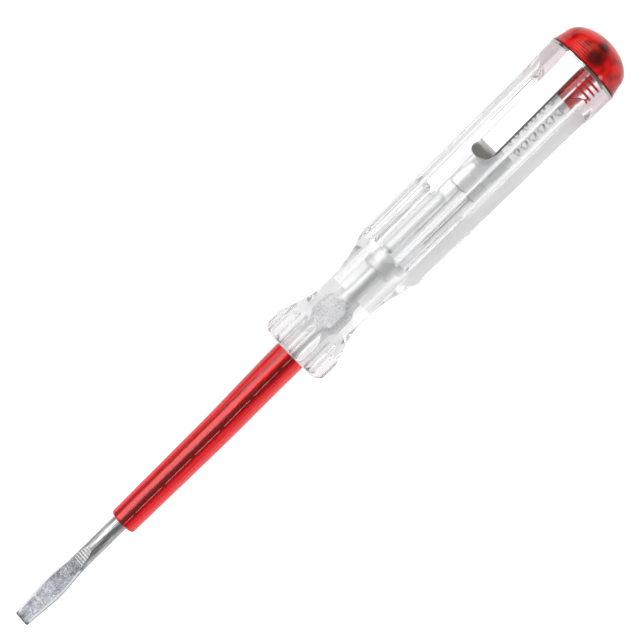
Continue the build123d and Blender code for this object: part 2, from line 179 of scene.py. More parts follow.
end_blend = ramp(room_tree, end_reach, [(0.75, 0.0), (0.95, 1.0)])
side_part = product(room_tree, side_level, maths(room_tree, "SUBTRACT", 1.0, end_blend))
room_level = times_plus(room_tree, end_blend, ROOM_END_LEVEL, side_part)
room_path = add_node(room_tree, "ShaderNodeLightPath").outputs
for_matte = maths(room_tree, "MINIMUM", room_path["Diffuse Depth"], 1.0)
plain_share = maths(room_tree, "MAXIMUM", room_path["Is Camera Ray"], for_matte)
plain_level = times_plus(room_tree, for_matte, MATTE_FILL - 1, 1.0)
backdrop_level = product(room_tree, maths(room_tree, "SUBTRACT", 1.0, plain_share), room_level)
backdrop_level = times_plus(room_tree, plain_share, plain_level, backdrop_level)
room_shader = add_node(room_tree, "ShaderNodeBackground")
room_shader.inputs["Color"].default_value = (1, 1, 1, 1)
feed(room_tree, backdrop_level, room_shader, "Strength")
room_output = add_node(room_tree, "ShaderNodeOutputWorld")
feed(room_tree, room_shader.outputs[0], room_output, "Surface")

softbox_distance = 0.6
softbox_over = Vector((0.08, 0, 0))
softbox_data = bpy.data.lights.new("softbox", "AREA")
softbox_data.shape = "RECTANGLE"
softbox_data.size = 0.5
softbox_data.size_y = 0.25
softbox_data.energy = 0.3
softbox = bpy.data.objects.new("softbox", softbox_data)
softbox_place = (to_camera * 0.6 + across_pen * 0.8).normalized() * softbox_distance
softbox.location = softbox_over + softbox_place
softbox.rotation_euler = softbox_place.to_track_quat("Z", "X").to_euler()
softbox.visible_camera = False
softbox.visible_glossy = False
bpy.context.scene.collection.objects.link(softbox)

# White paper table. It glows a little for the camera and for what metal and glass show of it,
# so it stays white there, and it still takes the pen's shadow.
FLOOR_LEVEL = -7.15
PAPER_HALF_SIZE = 0.45
PEN_MIDDLE = 0.07
GLOW_IN_PIECES = 0.36
GLOW_TO_CAMERA = 0.6
floor_bm = bmesh.new()
bmesh.ops.create_grid(floor_bm, x_segments=1, y_segments=1, size=PAPER_HALF_SIZE)
bmesh.ops.translate(floor_bm, verts=floor_bm.verts, vec=(PEN_MIDDLE, 0, FLOOR_LEVEL * MM))
floor_mesh = bpy.data.meshes.new("paper_table")
floor_bm.to_mesh(floor_mesh)
floor_bm.free()
paper_table = bpy.data.objects.new("paper_table", floor_mesh)
bpy.context.scene.collection.objects.link(paper_table)
paper = bpy.data.materials.new("white_paper")
paper.use_nodes = True
paper_tree = paper.node_tree
paper_shader = paper_tree.nodes["Principled BSDF"]
paper_shader.inputs["Base Color"].default_value = (0.8, 0.8, 0.8, 1)
paper_shader.inputs["Roughness"].default_value = 0.9
paper_shader.inputs["Specular IOR Level"].default_value = 0.0
paper_shader.inputs["Emission Color"].default_value = (1, 1, 1, 1)
paper_path = add_node(paper_tree, "ShaderNodeLightPath").outputs
in_pieces = maths(paper_tree, "MAXIMUM", paper_path["Is Glossy Ray"], paper_path["Is Transmission Ray"])
paper_glow = product(paper_tree, in_pieces, GLOW_IN_PIECES)
paper_glow = times_plus(paper_tree, paper_path["Is Camera Ray"], GLOW_TO_CAMERA, paper_glow)
feed(paper_tree, paper_glow, paper_shader, "Emission Strength")
floor_mesh.materials.append(paper)


# Blade and shaft: one bar of round steel, forged flat and ground to a screwdriver's tip, with
# two wings that key it in the handle. It is nickel washed, mottled where it was forged, and its
# very end is worn dark.
def stations(*spans):
    """Places along the pen. Each span is (start, end, count of steps)."""
    places = []
    for start, end, count in spans:
        places += [start + (end - start) * step / count for step in range(count)]
    return places + [spans[-1][1]]


def between(x, stops):
    """Height of a chain of straight lines at x. Stops are (x, height)."""
    if x <= stops[0][0]:
        return stops[0][1]
    for (x0, y0), (x1, y1) in zip(stops, stops[1:]):
        if x <= x1:
            return y0 + (y1 - y0) * (x - x0) / (x1 - x0)
    return stops[-1][1]


def eased(x, start, end, low, high, start_slope=0.0, end_slope=0.0):
    """A smooth curve from low to high that leaves and arrives with the given slopes."""
    length = end - start
    t = min(max((x - start) / length, 0.0), 1.0)
    return (
        low * (1 + 2 * t) * (1 - t) ** 2
        + high * t * t * (3 - 2 * t)
        + length * start_slope * t * (1 - t) ** 2
        + length * end_slope * t * t * (t - 1)
    )


def lathe(bm, profile, steps):
    """Spins a chain of (x, radius) points round the pen's axis."""
    points = [bm.verts.new((x, 0, radius)) for x, radius in profile]
    rails = [bm.edges.new(pair) for pair in zip(points, points[1:])]
    bmesh.ops.spin(
        bm,
        geom=points + rails,
        cent=(0, 0, 0),
        axis=(1, 0, 0),
        angle=math.tau,
        steps=steps,
        use_merge=True,
    )


WELD_DISTANCE = 0.0005


def finish_piece(bm, name, material, sharp=60.0):
    """Merges a millimetre mesh, turns its faces outwards, and makes it a piece in metres."""
    bmesh.ops.remove_doubles(bm, verts=bm.verts, dist=WELD_DISTANCE)
    bmesh.ops.recalc_face_normals(bm, faces=bm.faces)
    for face in bm.faces:
        face.smooth = True
    for edge in bm.edges:
        edge.smooth = edge.calc_face_angle(0.0) < math.radians(sharp)
    bmesh.ops.scale(bm, verts=bm.verts, vec=(MM, MM, MM))
    mesh = bpy.data.meshes.new(name)
    bm.to_mesh(mesh)
    bm.free()
    mesh.materials.append(material)
    piece = bpy.data.objects.new(name, mesh)
    bpy.context.scene.collection.objects.link(piece)
    return piece


def finish(name, **values):
    """A new material with its Principled shader's plain values set."""
    material = bpy.data.materials.new(name)
    material.use_nodes = True
    shader = material.node_tree.nodes["Principled BSDF"]
    for socket, value in values.items():
        socket_name = socket.replace("_", " ")
        shader.inputs[socket_name].default_value = value
    return material, material.node_tree, shader


SHAFT_RADIUS = 1.5
TIP_CORNER = 0.16
TIP_FLAT_HALF_WIDTH = 1.32
TIP_HALF_WIDTH = 1.485
TIP_HALF_THICKNESS = 0.25
TIP_WAVE_END = 0.25
BEVEL_INNER_TURN = 0.24
BEVEL_OUTER_TURN = 0.49
BEVEL_START = 0.5
BEVEL_END = 13.0
BLADE_WIDEST_X = 7.0
BLADE_WIDEST = 2.05
BLADE_HALF_THICKNESS = 0.6
TAPER_END = 14.8
FORGED_END = 17.5
RUN_OUT_RADIUS = 61.7
WING_HEIGHT = 0.65
WING_DENT = 0.4
BAR_END = 85.3


def blade_half_width(x):
    """Half of the blade's width, with its tip corners rounded."""
    if x < TIP_CORNER:
        rounding = math.sqrt(max(TIP_CORNER**2 - (TIP_CORNER - x) ** 2, 0.0))
        return TIP_FLAT_HALF_WIDTH + rounding + 0.02 * x
    if x < BLADE_WIDEST_X:
        return between(x, [(TIP_CORNER, TIP_HALF_WIDTH), (BLADE_WIDEST_X, BLADE_WIDEST)])
    return eased(x, BLADE_WIDEST_X, TAPER_END, BLADE_WIDEST, SHAFT_RADIUS)


def blade_flat_height(x):
    """Height of the blade's flats over the middle of the bar, up to where they run out."""
    if x < BLADE_WIDEST_X:
        widest = (BLADE_WIDEST_X, BLADE_HALF_THICKNESS)
        return between(x, [(0, TIP_HALF_THICKNESS), (4.6, 0.475), widest])
    run_out = (x - BLADE_WIDEST_X) ** 2 / (2 * RUN_OUT_RADIUS)
    return min(BLADE_HALF_THICKNESS + run_out, SHAFT_RADIUS)


def bar_section(x):
    """Half width, height of the rounded sides, and height of the flats of the bar at x."""
    if x < FORGED_END:
        side_height = between(x, [(0, 0.34), (BLADE_WIDEST_X, 0.86), (TAPER_END, SHAFT_RADIUS)])
        return blade_half_width(x), side_height, blade_flat_height(x)
    wing = between(x, [(70.8, 0), (72.2, 1), (76.0, 1), (77.4, 0)])
    return SHAFT_RADIUS + WING_HEIGHT * wing, SHAFT_RADIUS, SHAFT_RADIUS - WING_DENT * wing


# The bar is turned with a radius of 1, and each ring is then stretched to its section.
bar_bm = bmesh.new()
bevel_layer = bar_bm.verts.layers.float.new("bevel")
flat_layer = bar_bm.verts.layers.float.new("flat")
bar_places = stations(
    (0, 0.4, 8),
    (0.4, 7, 14),
    (7, FORGED_END, 30),
    (FORGED_END, 70.7, 20),
    (70.7, 77.5, 14),
    (77.5, BAR_END, 4),
)
lathe(bar_bm, [(0, 0), (0, 0.5)] + [(x, 1) for x in bar_places] + [(BAR_END, 0)], 96)
for vert in bar_bm.verts:
    share = math.hypot(vert.co.y, vert.co.z)
    if share < 1e-6:
        continue
    half_width, side_height, flat_height = bar_section(vert.co.x)
    turn = math.atan2(abs(vert.co.z), abs(vert.co.y)) / (math.pi / 2)
    crease = min(math.asin(min(flat_height / side_height, 1.0)), math.radians(60))
    if turn < 0.5:
        angle = crease * turn / 0.5
    else:
        angle = crease + (math.pi / 2 - crease) * (turn - 0.5) / 0.5
    y = half_width * math.cos(angle) * share
    z = min(side_height * math.sin(angle), flat_height) * share
    if vert.co.x < TIP_WAVE_END:
        vert.co.x += 0.03 * math.sin(y * 7.0 + 0.6) * math.sin(y * 2.3)
        vert.co.x += 0.015 * math.sin(y * 19.0)
    beside_flat = BEVEL_INNER_TURN < turn < BEVEL_OUTER_TURN
    vert[bevel_layer] = float(beside_flat and BEVEL_START < vert.co.x < BEVEL_END)
    vert[flat_layer] = float(side_height * math.sin(angle) > flat_height)
    vert.co.y = math.copysign(y, vert.co.y)
    vert.co.z = math.copysign(z, vert.co.z)


def make_grain_group():
    """Shared effect: noise drawn out along the pen, for scratches, haze and clouds."""
    group = bpy.data.node_groups.new("drawn_grain", "ShaderNodeTree")
    for name, kind in (
        ("Place", "NodeSocketVector"),
        ("Along", "NodeSocketFloat"),
        ("Across", "NodeSocketFloat"),
        ("Detail", "NodeSocketFloat"),
    ):
        group.interface.new_socket(name, in_out="INPUT", socket_type=kind)
    group.interface.new_socket("Level", in_out="OUTPUT", socket_type="NodeSocketFloat")
    given = add_node(group, "NodeGroupInput").outputs
    size = add_node(group, "ShaderNodeCombineXYZ")
    feed(group, given["Along"], size, "X")
    feed(group, given["Across"], size, "Y")
    feed(group, given["Across"], size, "Z")
    drawn = add_node(group, "ShaderNodeVectorMath", operation="MULTIPLY")
    feed(group, given["Place"], drawn, 0)
    feed(group, size.outputs[0], drawn, 1)
    noise = add_node(group, "ShaderNodeTexNoise")
    feed(group, drawn.outputs[0], noise, "Vector")
    feed(group, given["Detail"], noise, "Detail")
    noise.inputs["Scale"].default_value = 1.0
    feed(group, noise.outputs["Fac"], add_node(group, "NodeGroupOutput"), "Level")
    return group


grain_group = make_grain_group()


def streaks(tree, place, scale, stretch, detail=4.0):
    """The shared grain in one material. Scale is per metre across the pen."""
    node = add_node(tree, "ShaderNodeGroup", node_tree=grain_group)
    feed(tree, place, node, "Place")
    node.inputs["Along"].default_value = scale / stretch
    node.inputs["Across"].default_value = scale
    node.inputs["Detail"].default_value = detail
    return node.outputs["Level"]


def object_place(tree):
    """The place on the piece, in metres in the shared frame."""
    return add_node(tree, "ShaderNodeTexCoord").outputs["Object"]


def split(tree, vector):
    """A vector's X, Y and Z."""
    node = add_node(tree, "ShaderNodeSeparateXYZ")
    feed(tree, vector, node, 0)
    return node.outputs


def bump(tree, shader, height, distance, strength):
    """Raises a height on a shader's surface."""
    node = add_node(tree, "ShaderNodeBump")
    feed(tree, height, node, "Height")
    node.inputs["Distance"].default_value = distance
    node.inputs["Strength"].default_value = strength
    feed(tree, node.outputs[0], shader, "Normal")


def band(tree, value, start, end, soft):
    """1 between start and end, and 0 outside, with soft ends."""
    rise = times_plus(tree, value, 1 / soft, 0.5 - start / soft)
    fall = times_plus(tree, value, -1 / soft, 0.5 + end / soft)
    node = add_node(tree, "ShaderNodeClamp")
    feed(tree, maths(tree, "MINIMUM", rise, fall), node, "Value")
    return node.outputs[0]


def mixed(tree, share, first, second):
    """A colour that goes from first to second."""
    node = add_node(tree, "ShaderNodeMix", data_type="RGBA")
    feed(tree, share, node, "Factor")
    for name, source in (("A_Color", first), ("B_Color", second)):
        socket = next(socket for socket in node.inputs if socket.identifier == name)
        if isinstance(source, bpy.types.NodeSocket):
            tree.links.new(source, socket)
        else:
            socket.default_value = (*source, 1)
    return next(socket for socket in node.outputs if socket.identifier == "Result_Color")


def attribute(tree, name):
    """A value that the mesh carries on its vertices."""
    return add_node(tree, "ShaderNodeAttribute", attribute_name=name).outputs["Fac"]


steel, steel_tree, steel_shader = finish("ground_steel")
steel_place = object_place(steel_tree)
steel_x = split(steel_tree, steel_place)["X"]
steel_streak = streaks(steel_tree, steel_place, 5000, 14)
steel_speckle = streaks(steel_tree, steel_place, 9500, 1.3, 2.0)
steel_blotch = streaks(steel_tree, steel_place, 900, 2)
steel_ripple = streaks(steel_tree, steel_place, 2600, 2.5, 3.0)
wing_grain = streaks(steel_tree, steel_place, 3600, 1.2, 3.0)
bevel_highlight_share = attribute(steel_tree, "bevel")
on_flat = attribute(steel_tree, "flat")

forged_share = band(steel_tree, steel_x, -0.01, 0.0155, 0.003)
grind_line_highlight = band(steel_tree, steel_x, 0.0045, 0.0047, 0.0002)
covered_share = band(steel_tree, steel_x, 0.0240, 0.0646, 0.0004)
held_share = band(steel_tree, steel_x, 0.0646, 0.09, 0.002)
wing_share = band(steel_tree, steel_x, 0.0705, 0.0778, 0.0008)
dull_share = maths(steel_tree, "MAXIMUM", forged_share, wing_share)
worn_edge = times_plus(steel_tree, steel_blotch, 0.0016, steel_x)
worn_share = band(steel_tree, worn_edge, -0.01, 0.0014, 0.0008)
run_out = product(steel_tree, on_flat, band(steel_tree, steel_x, 0.0125, 0.02, 0.001))

# Short marks of the forging hammer cross the flats where they run out into the shank.
mark_shift = product(steel_tree, steel_blotch, 0.5)
mark_wave = maths(steel_tree, "FRACT", times_plus(steel_tree, steel_x, 1900.0, mark_shift))
mark_grain = maths(steel_tree, "GREATER_THAN", streaks(steel_tree, steel_place, 2200, 1), 0.44)
hammer_marks = maths(steel_tree, "LESS_THAN", mark_wave, 0.3)
hammer_marks = product(steel_tree, hammer_marks, band(steel_tree, steel_x, 0.0138, 0.0172, 0.0004))
hammer_marks = product(steel_tree, hammer_marks, product(steel_tree, on_flat, mark_grain))

speckle_level = times_plus(steel_tree, steel_speckle, 0.88, product(steel_tree, steel_blotch, 0.2))
flat_colour = ramp(
    steel_tree,
    speckle_level,
    [(0.42, (0.08, 0.085, 0.1)), (0.53, (0.37, 0.39, 0.42)), (0.63, (0.84, 0.87, 0.92))],
)
shank_colour = ramp(steel_tree, steel_streak, [(0.38, (0.24, 0.24, 0.24)), (0.6, (0.6, 0.6, 0.595))])
# The wings' grain runs from pale blue-grey to white: painted glints.
wing_colour = ramp(steel_tree, wing_grain, [(0.38, (0.72, 0.77, 0.82)), (0.52, (1.0, 1.0, 1.0))])
steel_colour = mixed(steel_tree, forged_share, shank_colour, flat_colour)
for share, strength, colour in (
    # The bevels beside the flats are painted near-white: a painted highlight.
    (bevel_highlight_share, 0.85, (0.97, 0.97, 0.97)),
    (worn_share, 0.8, (0.1, 0.105, 0.115)),
    # A painted highlight: a light line across the blade where the ground flats change slope at 4.6 mm.
    (grind_line_highlight, 0.6, (0.85, 0.86, 0.87)),
    # Under the sleeve the steel is painted lighter than the bare shank, as painted light, so it shows
    # brighter through the red plastic.
    (covered_share, 1.0, (0.88, 0.88, 0.88)),
    # In the handle the steel and its wings are painted lighter, as painted light, where little light
    # reaches them through the clear plastic.
    (held_share, 1.0, (0.9, 0.9, 0.9)),
    (wing_share, 1.0, wing_colour),
    (run_out, 0.3, (0.12, 0.12, 0.125)),
    (hammer_marks, 1.0, (0.8, 0.8, 0.8)),
):
    steel_colour = mixed(steel_tree, product(steel_tree, share, strength), steel_colour, colour)
feed(steel_tree, steel_colour, steel_shader, "Base Color")

# The bevels and the steel in the handle are less metallic, as part of their painted highlight and
# painted light.
steel_metal = times_plus(steel_tree, bevel_highlight_share, -0.6, 1.0)
steel_metal = times_plus(steel_tree, held_share, -0.4, steel_metal)
feed(steel_tree, steel_metal, steel_shader, "Metallic")
steel_rough = times_plus(steel_tree, steel_streak, 0.3, 0.18)
for share, strength in ((forged_share, 0.28), (held_share, 0.15), (covered_share, 0.08)):
    steel_rough = times_plus(steel_tree, share, strength, steel_rough)
feed(steel_tree, steel_rough, steel_shader, "Roughness")
steel_height = steel_streak
for grain, share, strength in (
    (steel_speckle, dull_share, 2.0),
    (steel_ripple, covered_share, 2.2),
    (wing_grain, wing_share, 2.4),
):
    steel_height = times_plus(steel_tree, product(steel_tree, grain, share), strength, steel_height)
bump(steel_tree, steel_shader, steel_height, 0.00004, 0.8)
bar = finish_piece(bar_bm, "steel_bar", steel, 40.0)
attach(bar, "handle_body")
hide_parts("blade_shaft")

# Insulating sleeve: a red see-through tube shrunk and moulded over the shaft, thicker towards the
# handle. A low broken seam from the mould runs along it, and its skin lies off the shaft's middle.
SLEEVE_START = 23.9
SLEEVE_ROUNDING = 0.5
SLEEVE_END = 64.62
SLEEVE_BORE = 1.52
SLEEVE_FRONT_RADIUS = 2.05
SLEEVE_SAG = 0.27
SEAM_ANGLE = -26
SEAM_HALF_WIDTH = 1.1
sleeve_bm = bmesh.new()
sleeve_skin = [
    (
        SLEEVE_START + SLEEVE_ROUNDING - SLEEVE_ROUNDING * math.cos(a),
        SLEEVE_FRONT_RADIUS + SLEEVE_ROUNDING * math.sin(a),
    )
    for a in stations((0, math.pi / 2, 8))
]
sleeve_skin += [
    (x, between(x, [(24.4, 2.555), (66.6, 3.025)])) for x in stations((25.4, SLEEVE_END, 120))
]
sleeve_bore = [(x, SLEEVE_BORE) for x in reversed(stations((SLEEVE_START, SLEEVE_END, 20)))]
lathe(sleeve_bm, sleeve_skin + sleeve_bore + [sleeve_skin[0]], 180)
sleeve_sag = across_pen * -SLEEVE_SAG
for vert in sleeve_bm.verts:
    radius = math.hypot(vert.co.y, vert.co.z)
    if radius < 1.9:
        continue
    if abs(math.degrees(math.atan2(vert.co.y, vert.co.z)) - SEAM_ANGLE) < SEAM_HALF_WIDTH:
        ridge = 0.085 + 0.02 * math.sin(vert.co.x * 0.9)
        ridge += 0.025 * math.sin(vert.co.x * 2.7 + 1.3)
        vert.co.y *= 1 + ridge / radius
        vert.co.z *= 1 + ridge / radius
    sag_share = 1.0 - eased(vert.co.x, 45.0, 63.0, 0.0, 1.0)
    vert.co += sleeve_sag * sag_share

red, red_tree, red_shader = finish(
    "red_plastic", Base_Color=(0.74, 0.012, 0.018, 1), Roughness=0.04, IOR=1.49, Transmission_Weight=1.0
)
bump(red_tree, red_shader, streaks(red_tree, object_place(red_tree), 1800, 4), 0.00003, 0.8)
sleeve = finish_piece(sleeve_bm, "red_sleeve", red)
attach(sleeve, "handle_body")
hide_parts("insulating_sleeve")

# Handle: thick clear plastic, moulded on the shaft. Ten finger scoops notch its flared nose, six
# flats with boat-shaped flutes run back from the shoulder, and the bore takes lamp and spring.
NOSE_FRONT = 64.6
NOSE_ROUNDING = 1.4
RIM_RADIUS = 6.65
RIM_START = 66.0
RIM_END = 68.6
SCOOPS_END = 76.4
SCOOP_STEP = math.radians(36)
SCOOP_CENTRE = 7.787
SCOOP_RADIUS = 2.087
NECK_RADIUS = 4.6
NECK_END = 78.5
SHOULDER_END = 88.2
SHOULDER_RADIUS = 6.775
FACET_STEP = math.radians(60)
FACET_RADIUS = 5.95
FACET_END_RADIUS = 6.2
COLLAR_START = 130.1
COLLAR_RADIUS = 7.05
FLUTE_CENTRE = 7.992
FLUTE_RADIUS = 2.5
FLUTE_START = 89.6
FLUTE_END = 100.0
FLUTE_BOW_LENGTH = 2.2
FLUTE_BOW_RADIUS = 3.602


def handle_outline(x):
    """Radius of the turned shape before the flats, flutes and scoops."""
    if x < RIM_START:
        rounding = math.sqrt(max(NOSE_ROUNDING**2 - (RIM_START - x) ** 2, 0.0))
        return RIM_RADIUS - NOSE_ROUNDING + rounding
    if x < RIM_END:
        return RIM_RADIUS
    if x < SCOOPS_END:
        return eased(x, RIM_END, SCOOPS_END, RIM_RADIUS, NECK_RADIUS, -0.25, 0.0)
    if x < NECK_END:
        return NECK_RADIUS
    if x < SHOULDER_END:
        return eased(x, NECK_END, SHOULDER_END, NECK_RADIUS, SHOULDER_RADIUS, 0.0, 0.44)
    return between(x, [(SHOULDER_END, SHOULDER_RADIUS), (128.9, COLLAR_RADIUS)])


def cutter(radius, centre, cutter_radius, angle):
    """Radius left where a round cutter beside the axis takes its share at this angle off it."""
    inside = cutter_radius**2 - (centre * math.sin(angle)) ** 2
    if inside <= 0 or abs(angle) > math.pi / 2:
        return radius
    return min(radius, centre * math.cos(angle) - math.sqrt(inside))


def flute_radius(x):
    """Radius of the flute's cutter at x, smaller in its two boat-shaped ends."""
    into_end = max(FLUTE_START - x, x - FLUTE_END, 0.0)
    if into_end > FLUTE_BOW_LENGTH:
        return 0.0
    return FLUTE_RADIUS - (FLUTE_BOW_RADIUS - math.sqrt(FLUTE_BOW_RADIUS**2 - into_end**2))


def skin_radius(x, phi):
    """Radius of the handle's outer skin at angle phi from the clip's side."""
    radius = handle_outline(x)
    if x < SCOOPS_END:
        scoop_angle = (phi - SCOOP_STEP / 2) % SCOOP_STEP
        scoop_angle = min(scoop_angle, SCOOP_STEP - scoop_angle)
        return cutter(radius, SCOOP_CENTRE, SCOOP_RADIUS, scoop_angle)
    if x < NECK_END:
        return radius
    face = round(phi / FACET_STEP)
    off = phi - face * FACET_STEP
    if face == 0:
        flat = between(x, [(SHOULDER_END, FACET_RADIUS), (135.1, FACET_END_RADIUS)])
    elif x > COLLAR_START:
        flat = radius
    else:
        flat = between(
            x,
            [
                (SHOULDER_END, FACET_RADIUS),
                (127.7, FACET_END_RADIUS),
                (COLLAR_START, COLLAR_RADIUS),
            ],
        )
    radius = min(radius, flat / math.cos(off))
    return cutter(radius, FLUTE_CENTRE, flute_radius(x), off)


def in_flute(x, phi):
    """1 in the milky flute on the clip's side, 0 elsewhere."""
    off = phi - round(phi / FACET_STEP) * FACET_STEP
    cutter_height = FLUTE_CENTRE - FACET_RADIUS - 0.006 * (x - SHOULDER_END)
    width = flute_radius(x) ** 2 - cutter_height**2
    if width <= 0 or abs(FACET_RADIUS * math.tan(off)) > math.sqrt(width):
        return 0.0
    return float(abs(phi) < FACET_STEP / 2)


FRONT_BORE_RADIUS = 2.95
REAR_BORE_RADIUS = 3.2
BORE_STEP = 107.6
KEYWAY_START = 125.4
KEYWAY_RADIUS = 4.32
KEYWAY_HALF_WIDTH = 0.8
THREAD_START = 128.6
THREAD_END = 133.1
THREAD_DEPTH = 0.045


def from_thread(x, y, z):
    """Distance along the pen from the thread's middle line, and the place of that line."""
    line = THREAD_END + math.atan2(z, y) / math.tau
    turns = round(x - line)
    return abs(x - line - turns), line + turns


def bore_radius(x, y, z):
    """Radius of the bore, with its step, the cap's thread and the keyway of the clip's tongue."""
    radius = FRONT_BORE_RADIUS if x < BORE_STEP else REAR_BORE_RADIUS
    phi = math.atan2(y, z)
    if x > 128.0:
        off, line = from_thread(x, y, z)
        if line > THREAD_START:
            depth = between(line, [(THREAD_START, 0.0), (THREAD_START + 1.0, THREAD_DEPTH)])
            radius += depth * (0.5 + 0.5 * math.cos(off * math.tau))
    if x > KEYWAY_START and abs(phi) < math.pi / 4:
        to_side = KEYWAY_HALF_WIDTH / max(abs(math.sin(phi)), 1e-6)
        radius = max(radius, min(KEYWAY_RADIUS / math.cos(phi), to_side))
    return radius


# The handle is turned with a rough skin and bore, which are then drawn to their true radius.
HANDLE_END = THREAD_END - 0.03
BORE_FLOOR = 78.9
ROUGH_SKIN = 6.0
ROUGH_BORE = 3.0
rim_places = [RIM_START - NOSE_ROUNDING * math.cos(a) for a in stations((0, math.pi / 2, 12))]
skin_places = rim_places[:-1] + stations(
    (RIM_START, 88.0, 66),
    (88.0, 89.8, 12),
    (89.8, 99.8, 6),
    (99.8, 102.3, 16),
    (102.3, 127.6, 10),
    (127.6, 130.2, 20),
    (130.2, HANDLE_END, 3),
)
bore_places = stations(
    (BORE_FLOOR, 107.59, 8),
    (107.59, 107.61, 1),
    (107.61, 125.39, 6),
    (125.39, 125.41, 1),
    (125.41, 128.2, 3),
    (128.2, HANDLE_END, 86),
)
handle_profile = [(NOSE_FRONT, 0), (NOSE_FRONT, 3.2)]
handle_profile += [(x, ROUGH_SKIN) for x in skin_places]
handle_profile += [(x, ROUGH_BORE) for x in reversed(bore_places)] + [(BORE_FLOOR, 0)]
handle_bm = bmesh.new()
flute_layer = handle_bm.verts.layers.float.new("flute")
lathe(handle_bm, handle_profile, 360)
for vert in handle_bm.verts:
    radius = math.hypot(vert.co.y, vert.co.z)
    on_nose_front = vert.co.x < 66.6 and radius < 3.3
    if radius < 0.1 or on_nose_front:
        continue
    if radius > 4:
        target = skin_radius(vert.co.x, math.atan2(vert.co.y, vert.co.z))
        vert[flute_layer] = in_flute(vert.co.x, math.atan2(vert.co.y, vert.co.z))
    else:
        target = bore_radius(vert.co.x, vert.co.y, vert.co.z)
    vert.co.y *= target / radius
    vert.co.z *= target / radius


def off_axis(tree, apart):
    """How far a place, split into X, Y and Z, lies from the pen's axis."""
    node = add_node(tree, "ShaderNodeCombineXYZ")
    feed(tree, apart["Y"], node, "Y")
    feed(tree, apart["Z"], node, "Z")
    length = add_node(tree, "ShaderNodeVectorMath", operation="LENGTH")
    feed(tree, node.outputs[0], length, 0)
    return length.outputs["Value"]


clear, clear_tree, clear_shader = finish("clear_plastic", IOR=1.48, Transmission_Weight=1.0)
clear_place = object_place(clear_tree)
clear_apart = split(clear_tree, clear_place)
clear_x = clear_apart["X"]
in_bore = maths(clear_tree, "LESS_THAN", off_axis(clear_tree, clear_apart), 0.0045)
in_bore = product(clear_tree, in_bore, band(clear_tree, clear_x, 0.0785, 0.127, 0.001))
lamp_haze = band(clear_tree, clear_x, 0.0785, 0.113, 0.002)
clear_rough = times_plus(clear_tree, lamp_haze, 0.1, 0.12)
clear_rough = times_plus(clear_tree, in_bore, clear_rough, 0.02)
clear_rough = times_plus(clear_tree, attribute(clear_tree, "flute"), 0.3, clear_rough)
feed(clear_tree, clear_rough, clear_shader, "Roughness")
clear_ripple = streaks(clear_tree, clear_place, 900, 40, 3.0)
clear_ripple = product(clear_tree, clear_ripple, band(clear_tree, clear_x, 0.086, 0.128, 0.006))
bump(clear_tree, clear_shader, clear_ripple, 0.0001, 0.2)
# The nose and the collar are painted pink: painted red light from the red sleeve and the red cap beside
# them.
nose_red_light = band(clear_tree, clear_x, 0.06, 0.066, 0.004)
collar_red_light = band(clear_tree, clear_x, 0.1285, 0.14, 0.005)
clear_colour = mixed(clear_tree, nose_red_light, (0.965, 0.968, 0.97), (0.97, 0.88, 0.9))
clear_colour = mixed(clear_tree, collar_red_light, clear_colour, (0.95, 0.86, 0.9))
feed(clear_tree, clear_colour, clear_shader, "Base Color")
handle = finish_piece(handle_bm, "clear_handle", clear, 70.0)
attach(handle, "handle_body")
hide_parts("handle")

# Glow lamp: a glass tube with two nickel rods side by side in it, each on a fine lead through its
# sealed end, and a tinned thimble pressed over each end.
glass, glass_tree, glass_shader = finish(
    "lamp_glass", Base_Color=(0.97, 0.97, 0.975, 1), IOR=1.5, Transmission_Weight=1.0
)
tin, tin_tree, tin_shader = finish("tinned_metal", Base_Color=(0.97, 0.97, 0.965, 1), Metallic=0.5)
nickel, nickel_tree, nickel_shader = finish(
    "satin_nickel", Base_Color=(0.86, 0.85, 0.83, 1), Metallic=0.6
)


def uneven_gloss(tree, shader, grain, stretch, low, high):
    """Roughness between low and high, by the shared grain."""
    level = streaks(tree, object_place(tree), grain, stretch)
    feed(tree, times_plus(tree, level, high - low, low), shader, "Roughness")


uneven_gloss(glass_tree, glass_shader, 900, 3, 0.0, 0.03)
uneven_gloss(tin_tree, tin_shader, 3000, 3, 0.38, 0.6)
uneven_gloss(nickel_tree, nickel_shader, 5000, 3, 0.25, 0.45)


def dress(node, material):
    """Gives a CAD node its finish."""
    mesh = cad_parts[node].data
    mesh.materials.clear()
    mesh.materials.append(material)


dress("lamp_glass", glass)
for node in ("lamp_front_cap", "lamp_rear_cap", "lamp_front_lead", "lamp_rear_lead"):
    dress(node, tin)
for node in ("lamp_front_electrode", "lamp_rear_electrode"):
    dress(node, nickel)

# Resistor: a ceramic rod with its resistive film under grey-blue lacquer, and a metal cap pressed
# on each end. It lies loose in the bore between the lamp and the spring.
film, film_tree, film_shader = finish("resistor_film", Roughness=0.5)
film_grain = streaks(film_tree, object_place(film_tree), 2500, 1)
film_colour = ramp(film_tree, film_grain, [(0.3, (0.74, 0.76, 0.78)), (0.7, (0.86, 0.87, 0.88))])
feed(film_tree, film_colour, film_shader, "Base Color")
dress("resistor_rod", film)
dress("resistor_front_cap", tin)
dress("resistor_rear_cap", tin)

# Contact spring: drawn steel wire, close wound at its lamp end, open towards the cap. It presses
# the metal cup on the stud of the screw cap, and its ends stand square.
wire, wire_tree, wire_shader = finish("spring_wire", Base_Color=(0.7, 0.7, 0.7, 1), Metallic=1.0)
uneven_gloss(wire_tree, wire_shader, 6000, 1, 0.1, 0.4)
COIL_START = 114.1
COIL_RADIUS = 2.125
COIL_TURNS = 5.75
CLOSE_PITCH = 0.92
WOUND_LENGTH = 10.45
TURN_STEPS = 32
WIRE_RADIUS = 0.225
WIRE_SIDES = 12
LEAD_LENGTH = 0.45
LEAD_BEND = 0.75
LEAD_TURN = LEAD_BEND / COIL_RADIUS


def coil_point(x, angle):
    """A point of the wire's middle line, x along the pen and at this angle round it."""
    return Vector((x, COIL_RADIUS * math.sin(angle), COIL_RADIUS * math.cos(angle)))


